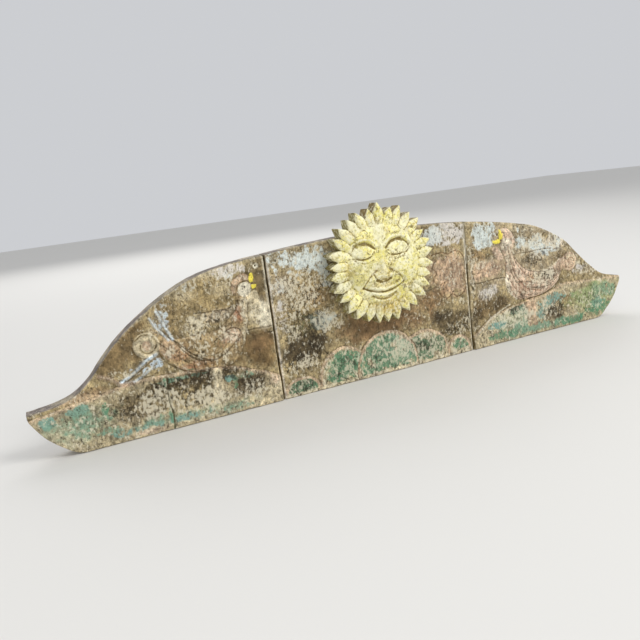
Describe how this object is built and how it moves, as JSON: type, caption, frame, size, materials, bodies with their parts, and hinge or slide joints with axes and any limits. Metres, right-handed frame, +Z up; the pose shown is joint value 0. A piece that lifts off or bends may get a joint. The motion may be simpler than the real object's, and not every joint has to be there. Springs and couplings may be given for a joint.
{
  "type": "cast relief frieze",
  "caption": "Long sectional cast relief frieze for a wall, with a domed sun face over hills and a rooster in each wing; the wings draw off dowels at the seams.",
  "frame": {"origin": "centre of the base face, on the centre line of the frieze and halfway through the thickness of the slabs", "axes": "+X along the frieze towards the right wing as seen from the front, +Y into the wall so that the relief faces -Y, +Z up"},
  "size_m": [2.91, 0.184, 0.756],
  "materials": {
    "painted_cement": "cast cement, weathered and flaking paint in green, blue and brown over cream",
    "sun_cement": "cast cement, matt yellow paint worn to cream, brown in the recesses",
    "bedding_mortar": "rough grey mortar",
    "rusted_steel": "rusted hot-rolled bar",
    "zinc_steel": "dull zinc coating"
  },
  "bodies": {
    "centre": {"centre_section": "painted_cement", "sun_medallion": "sun_cement", "sun_mortar_bed": "bedding_mortar", "sun_hoop": "rusted_steel", "sun_studs": "rusted_steel", "sun_washers": "zinc_steel", "sun_nuts": "zinc_steel", "centre_long_bars": "rusted_steel", "centre_cross_bars": "rusted_steel", "left_seam_dowels": "zinc_steel", "right_seam_dowels": "zinc_steel", "right_seam_mortar": "bedding_mortar"},
    "left_wing": {"left_section": "painted_cement", "left_long_bars": "rusted_steel", "left_cross_bars": "rusted_steel", "left_seam_sleeves": "zinc_steel"},
    "right_wing": {"right_section": "painted_cement", "right_long_bars": "rusted_steel", "right_cross_bars": "rusted_steel", "right_seam_sleeves": "zinc_steel"}
  },
  "joints": [
    {"name": "left_wing_slide", "type": "slide", "parent": "centre", "child": "left_wing", "axis": [-1, 0, 0], "range_m": [0, 0.12]},
    {"name": "right_wing_slide", "type": "slide", "parent": "centre", "child": "right_wing", "axis": [1, 0, 0], "range_m": [0, 0.12]}
  ]
}
